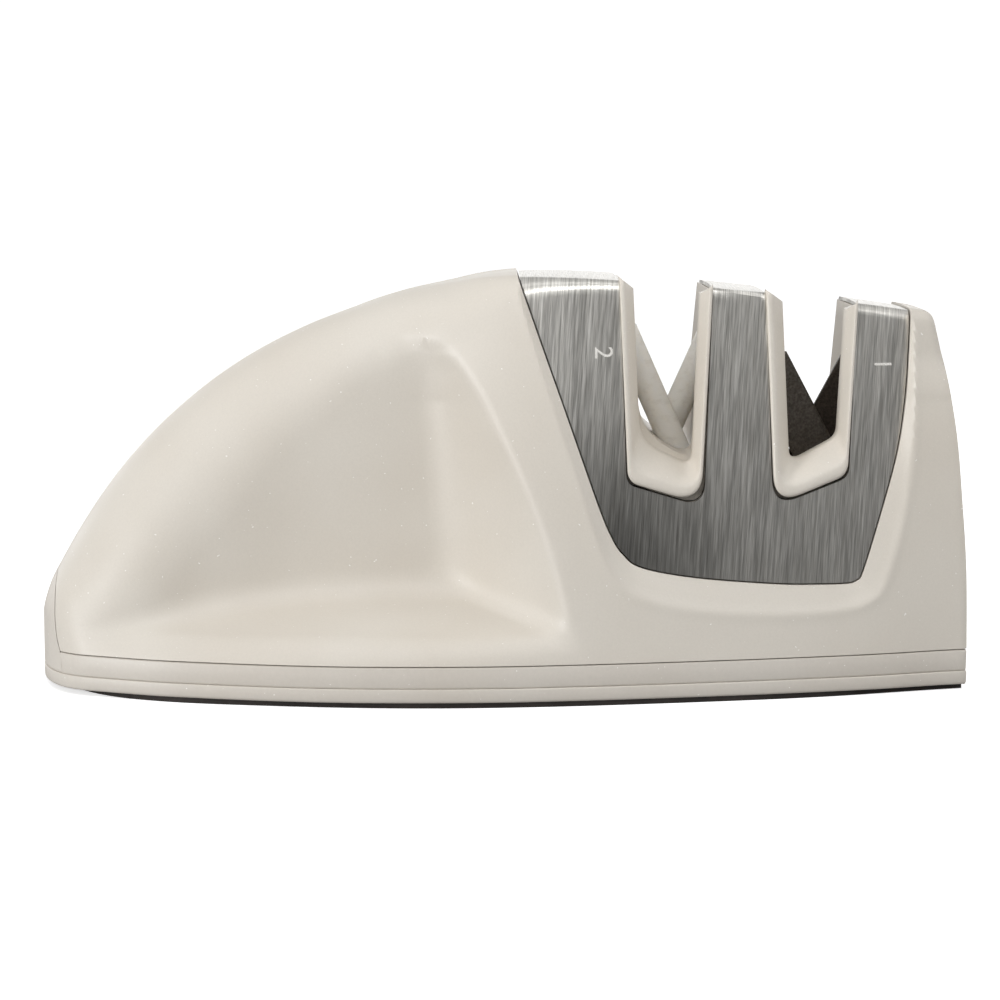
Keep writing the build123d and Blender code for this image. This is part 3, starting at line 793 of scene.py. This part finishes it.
def brushed(name, dark, light):
    """Steel brushed up and down: fine hairs, longer streaks, painted shade low down and in the low corner."""
    material, tree, shader = nodes_of(name)
    place = objects_place(tree)

    def hairs(width, run, rough):
        along = stretched(tree, place, BRUSH_LEAN, (1.0, run, run), "TEXTURE")
        return noise(tree, along, size=width, detail=2.0, rough=rough)

    hair = hairs(width=0.14, run=42, rough=0.55)
    streak = hairs(width=0.30, run=24, rough=0.6)
    broad = hairs(width=2.4, run=12, rough=0.5)
    base = ramp(tree, hair, (0.30, dark), (0.70, light))
    base = shaded(tree, 0.50, base, streak, (0.36, 0.62), (0.58, 1.0))
    base = shaded(tree, 0.25, base, broad, (0.35, 0.7), (0.65, 1.0))
    # Painted shade: the sheet is darker low down
    height = spread(tree, axis(tree, place, "Z"), *(v * MM for v in PAINTED_SHADE_HEIGHTS))
    base = shaded(tree, 1.0, base, height, (0.0, 0.70), (0.45, 0.84), (0.8, 1.0))
    # Painted shade: a darker patch round the low corner
    corner = tree.nodes.new("ShaderNodeVectorMath")
    corner.operation = "DISTANCE"
    corner.inputs[1].default_value = [v * MM for v in PAINTED_SHADE_CORNER]
    tree.links.new(place, corner.inputs[0])
    away = spread(tree, corner.outputs["Value"], 0, PAINTED_SHADE_REACH * MM)
    base = shaded(tree, 1.0, base, away, (0.0, 0.36), (0.45, 0.62), (1.0, 1.0))
    tree.links.new(base, shader.inputs["Base Color"])
    shader.inputs["Metallic"].default_value = 1.0
    uneven_gloss(tree, shader, streak, 0.28, 0.42)
    relief(tree, shader, (streak, 0.003), (hair, 0.003))
    return material


def ceramic(name):
    """Sintered white rod with a dull granular face and grey steel traces."""
    material, tree, shader = nodes_of(name)
    place = objects_place(tree)
    grain = noise(tree, place, size=0.12, detail=2.0, rough=0.7)
    flat = stretched(tree, place, 0, (1.0, 0.25, 1.6))
    smears = noise(tree, flat, size=2.4, detail=4.0, rough=0.65)
    traces = ramp(tree, smears, (0.50, tone(250, 248, 243)), (0.76, tone(232, 229, 222)))
    base = shaded(tree, 0.2, traces, grain, (0.3, 0.7), (0.7, 1.0))
    tree.links.new(base, shader.inputs["Base Color"])
    uneven_gloss(tree, shader, grain, 0.42, 0.58)
    shader.inputs["Subsurface Weight"].default_value = 0.6
    shader.inputs["Subsurface Radius"].default_value = (1.0, 0.95, 0.85)
    shader.inputs["Subsurface Scale"].default_value = 1.2 * MM
    relief(tree, shader, (grain, 0.004))
    return material


def carbide(name, dark, light):
    """Dark ground carbide with fine grinding lines along the blade."""
    material, tree, shader = nodes_of(name)
    place = objects_place(tree)
    lines = noise(tree, stretched(tree, place, 28, (1.0, 1.0, 0.06)), size=0.14, rough=0.7)
    specks = noise(tree, place, size=0.35, detail=2.0, rough=0.6)
    speckled = ramp(tree, specks, (0.35, dark), (0.7, light))
    base = shaded(tree, 0.5, speckled, lines, (0.3, 0.5), (0.7, 1.0))
    tree.links.new(base, shader.inputs["Base Color"])
    shader.inputs["Metallic"].default_value = 0.75
    uneven_gloss(tree, shader, lines, 0.42, 0.6)
    relief(tree, shader, (lines, 0.005))
    return material


def rubber(name):
    """Dark soft foot with a pebbled, dusty face."""
    material, tree, shader = nodes_of(name)
    place = objects_place(tree)
    pebble = noise(tree, place, size=0.45, detail=2.0, rough=0.6)
    clouds = noise(tree, place, size=6, detail=4.0)
    dusty = ramp(tree, clouds, (0.35, tone(36, 31, 28)), (0.75, tone(54, 48, 44)))
    base = shaded(tree, 0.3, dusty, pebble, (0.3, 0.6), (0.7, 1.0))
    tree.links.new(base, shader.inputs["Base Color"])
    uneven_gloss(tree, shader, pebble, 0.7, 0.86)
    relief(tree, shader, (pebble, 0.03))
    return material


def plated(name):
    """Bright plated screw with turning marks and faint stains."""
    material, tree, shader = nodes_of(name)
    place = objects_place(tree)
    marks = noise(tree, place, size=0.22, rough=0.7)
    clouds = noise(tree, place, size=1.6)
    stains = ramp(tree, clouds, (0.35, tone(168, 166, 160)), (0.7, tone(206, 204, 198)))
    tree.links.new(stains, shader.inputs["Base Color"])
    shader.inputs["Metallic"].default_value = 1.0
    uneven_gloss(tree, shader, marks, 0.22, 0.38)
    relief(tree, shader, (marks, 0.004))
    return material


def etched(name):
    """Fine etched mark in the steel, lighter and duller than the sheet."""
    material, tree, shader = nodes_of(name)
    grain = noise(tree, objects_place(tree), size=0.1, detail=2.0, rough=0.7)
    bitten = ramp(tree, grain, (0.3, tone(214, 212, 206)), (0.7, tone(244, 242, 236)))
    tree.links.new(bitten, shader.inputs["Base Color"])
    shader.inputs["Metallic"].default_value = 0.2
    uneven_gloss(tree, shader, grain, 0.55, 0.75)
    relief(tree, shader, (grain, 0.004))
    return material


def smooth(item, angle):
    """Smooth shading that keeps edges sharper than the angle."""
    tool = bmesh.new()
    tool.from_mesh(item.data)
    for face in tool.faces:
        face.smooth = True
    for line in tool.edges:
        line.smooth = line.is_manifold and line.calc_face_angle(0) < math.radians(angle)
    tool.to_mesh(item.data)
    tool.free()


def dress(item, slot_name, finish, *replaced):
    """Gives a piece its finish and body, and hides the imported nodes that it stands for.

    The slot name is not used.
    """
    item.data.materials.clear()
    item.data.materials.append(finish)
    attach(item, "root")
    if replaced:
        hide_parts(*replaced)


def numeral(name, text, x, z):
    """Plain etched number, reading downwards, laid on the steel."""
    data = bpy.data.curves.new(name, "FONT")
    data.body = text
    data.size = NUMERAL_HEIGHT * MM
    data.extrude = NUMERAL_THICKNESS / 2 * MM
    data.align_x, data.align_y = "CENTER", "CENTER"
    letter = linked(name + "_line", data)
    bpy.context.view_layer.update()
    mesh = bpy.data.meshes.new_from_object(letter.evaluated_get(bpy.context.evaluated_depsgraph_get()))
    bpy.data.objects.remove(letter)
    for v in mesh.vertices:
        px, pz = x + v.co.y / MM, z - v.co.x / MM
        front = float(face_half(np.array(px), np.array(pz))) - RECESS + NUMERAL_RAISED
        v.co = Vector((px, -front + (0.0 if v.co.z > 0 else NUMERAL_THICKNESS), pz)) * MM
    item = linked(name, mesh)
    weld(mesh, WELD / 2)
    return item


outer_face = shell_face()
edge = outer_face[:, 0, :2]
plan = np.concatenate((edge, edge[::-1] * (1, -1)))
looks = {
    "shell_plastic": moulded("shell_plastic_fine_grain", tone(216, 209, 198), tone(221, 215, 205)),
    "base_plastic": moulded("base_plastic_satin", tone(212, 205, 195), tone(217, 211, 202),
                            grain=0.5, depth=0.005, gloss=0.46),
    "guide_plastic": moulded("guide_plastic_satin", tone(217, 210, 199), tone(222, 216, 206),
                             grain=0.4, depth=0.004, gloss=0.40),
    "holder_plastic": moulded("holder_plastic_plain", tone(140, 136, 129), tone(150, 146, 139),
                              grain=0.5, depth=0.006, gloss=0.5),
    "cover_steel": brushed("cover_steel_brushed", dark=tone(205, 202, 195), light=tone(255, 253, 247)),
    "rod_ceramic": ceramic("rod_ceramic_sintered"),
    "blade_carbide": carbide("blade_carbide_ground", tone(88, 83, 77), tone(118, 112, 106)),
    "foot_rubber": rubber("foot_rubber_pebbled"),
    "screw_steel": plated("screw_steel_plated"),
}

# Each piece, the angle in degrees up to which its edges look smooth, its slot and the node that it replaces
pieces = [
    (moulded_shell(outer_face), 30, "shell_plastic", "upper_shell"),
    (bent_sheet(), 25, "cover_steel", "steel_cover"),
    *((guide(stage), 38, "guide_plastic", stage + "_guide") for stage in LINES),
    (tier("base_plate_moulded", plan, PLATE_RINGS), 60, "base_plastic", "base_plate"),
    (frame_tier(plan), 40, "base_plastic", "base_frame"),
]
for item, angle, slot_name, replaced in pieces:
    smooth(item, angle)
    dress(item, slot_name, looks[slot_name], replaced)

etch = etched("etched_mark_dull")
for name, text, x, z in NUMERALS:
    dress(numeral(name, text, x, z), "cover_steel", etch)

# The imported solids that stay in sight. The rear blade has a darker, browner copy of the carbide as painted
# shade, so that the crossing of the pair shows
own_looks = {
    "carbide_blade_rear": carbide("blade_carbide_ground_painted_shade", tone(62, 55, 49), tone(86, 78, 71)),
}
slots = {s["node"]: s["material_slot"] for s in frame["record"]["subparts"]}
for name, item in frame["nodes"].items():
    item.data.materials.clear()
    item.data.materials.append(own_looks.get(name, looks[slots[name]]))


def camera_ray(tree):
    """1 for what the camera sees directly, 0 for light that falls on other things."""
    return tree.nodes.new("ShaderNodeLightPath").outputs["Is Camera Ray"]


def studio_floor():
    """White floor just under the foot, brighter to the camera than to the object."""
    bpy.ops.mesh.primitive_plane_add(size=FLOOR_SIZE, location=(0, 0, -FLOOR_GAP))
    floor = bpy.context.object
    floor.name = "studio_floor"
    material, tree, shader = nodes_of("floor_white")
    seen = camera_ray(tree)
    tree.links.new(mix(tree, "MIX", seen, grey(0.44), grey(0.96)), shader.inputs["Base Color"])
    shader.inputs["Roughness"].default_value = 1.0
    shader.inputs["Specular IOR Level"].default_value = 0.0
    shader.inputs["Emission Color"].default_value = grey(1.0)
    tree.links.new(greys(tree, seen, (0.0, 0.0), (1.0, 0.6)), shader.inputs["Emission Strength"])

    # Seen from below the floor is clear, so that the foot can be looked at
    clear = tree.nodes.new("ShaderNodeMixShader")
    tree.links.new(tree.nodes.new("ShaderNodeNewGeometry").outputs["Backfacing"], clear.inputs[0])
    tree.links.new(shader.outputs[0], clear.inputs[1])
    tree.links.new(tree.nodes.new("ShaderNodeBsdfTransparent").outputs[0], clear.inputs[2])
    tree.links.new(clear.outputs[0], tree.nodes["Material Output"].inputs["Surface"])
    floor.data.materials.append(material)
    return floor


def surroundings():
    """Grey room, lighter overhead, with a bright wall low behind the object. The camera sees plain white."""
    world = bpy.data.worlds.new("studio")
    bpy.context.scene.world = world
    world.use_nodes = True
    sky = world.node_tree
    way = sky.nodes.new("ShaderNodeTexCoord").outputs["Generated"]
    height = axis(sky, way, "Z")
    rise = greys(sky, height, (0.0, 0.20), (0.30, 0.29), (0.60, 0.51), (0.85, 0.61))
    rightwards = spread(sky, axis(sky, way, "X"), -1.0, 1.0)
    sides = shaded(sky, 1.0, rise, rightwards, (0.0, 1.0), (1.0, 0.9))
    backwards = spread(sky, axis(sky, way, "Y"), 0.3, 0.9)
    low = greys(sky, height, (0.18, 1.0), (0.5, 0.0))
    behind = mix(sky, "MULTIPLY", 1.0, greys(sky, backwards, (0.0, 0.0), (1.0, 1.0)), low)
    around = mix(sky, "MIX", behind, sides, grey(1.7))
    seen = mix(sky, "MIX", camera_ray(sky), around, grey(1.05))
    sky.links.new(seen, sky.nodes["Background"].inputs["Color"])


def area_light(name, place, target, size, power):
    """Rectangular light at a place, turned to its target, in metres and watts."""
    light = bpy.data.lights.new(name, "AREA")
    light.shape = "RECTANGLE"
    light.size, light.size_y = size
    light.energy = power
    item = linked(name, light)
    item.location = place
    item.rotation_euler = (Vector(target) - Vector(place)).to_track_quat("-Z", "Y").to_euler()


studio_floor()
surroundings()
area_light("left_softbox", (-0.55, -0.45, 0.12), MIDDLE, (0.20, 0.30), 2.9)
area_light("right_fill", (0.60, -0.12, 0.30), MIDDLE, (0.30, 0.40), 0.9)
area_light("top_strip", (0.0, -0.02, 0.60), MIDDLE, (0.60, 0.08), 0.2)
area_light("near_strip", (0.02, -0.12, 0.18), (0.02, -0.01, 0.03), (0.24, 0.05), 0.1)

# Camera in front of the object, a little above it and dipped towards it
lens = bpy.data.cameras.new("camera")
lens.lens = 99.94
lens.sensor_width = 36
lens.clip_start = 0.01
camera = linked("camera", lens)
camera.location = (0, -0.400, 0.0744)
camera.rotation_euler = (math.radians(90 - CAMERA_DIP), 0, 0)
bpy.context.scene.camera = camera
bpy.context.scene.view_settings.view_transform = "Standard"
